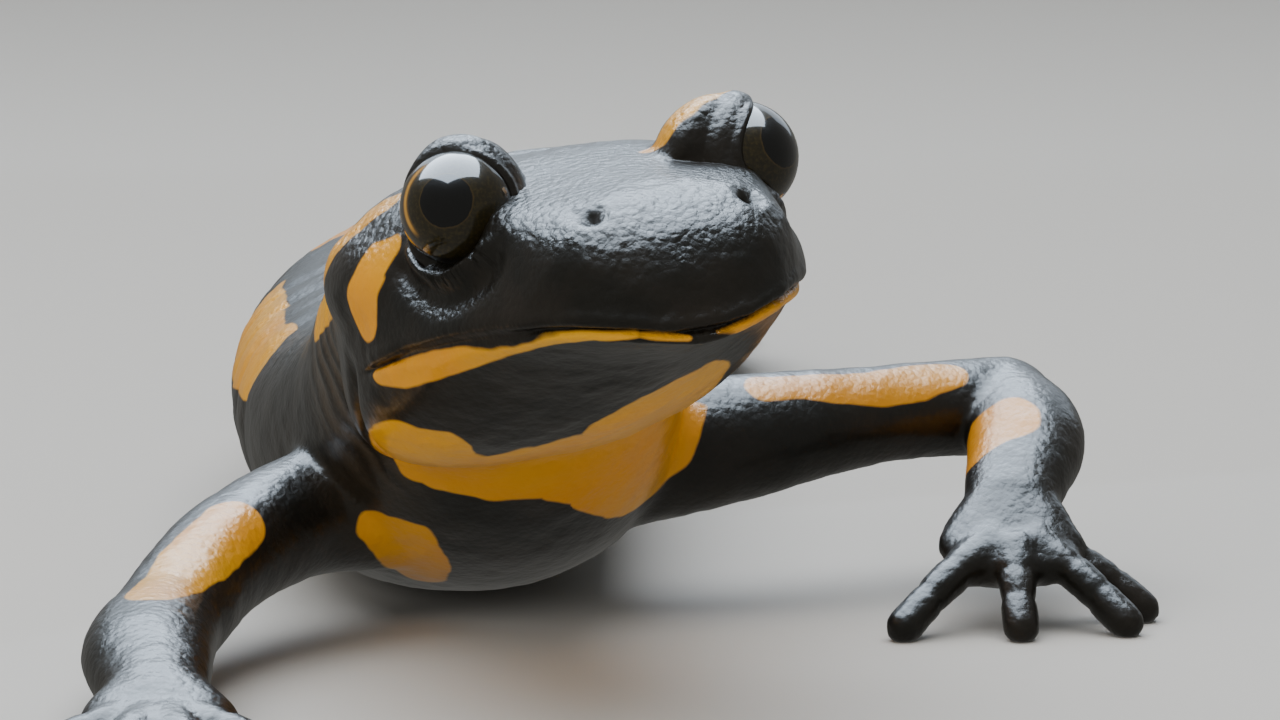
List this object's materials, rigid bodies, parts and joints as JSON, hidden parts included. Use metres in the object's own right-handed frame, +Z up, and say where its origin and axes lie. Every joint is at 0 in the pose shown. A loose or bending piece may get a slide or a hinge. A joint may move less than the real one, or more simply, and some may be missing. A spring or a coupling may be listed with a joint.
{
  "type": "fire salamander model",
  "caption": "Life-size still model of a fire salamander lying with its head raised and turned, black with yellow markings, resting on its belly, tail, hands and feet.",
  "frame": {"origin": "middle of the animal's outline seen from above, on the floor that it rests on", "axes": "+Z up, -Y the way the animal faces, +X to its left"},
  "size_m": [0.044, 0.1738, 0.0235],
  "materials": {
    "skin": "moist, smooth black skin with yellow and orange markings",
    "eye": "clear gloss over a nearly black iris"
  },
  "bodies": {
    "root": {"head": "skin", "lower_jaw": "skin", "neck": "skin", "trunk_front": "skin", "trunk_rear": "skin", "tail_base": "skin", "tail_middle": "skin", "tail_end": "skin", "upper_arm_left": "skin", "forearm_left": "skin", "hand_left": "skin", "thigh_left": "skin", "shank_left": "skin", "foot_left": "skin", "upper_arm_right": "skin", "forearm_right": "skin", "hand_right": "skin", "thigh_right": "skin", "shank_right": "skin", "foot_right": "skin", "eye_left": "eye", "eye_right": "eye"}
  },
  "joints": []
}
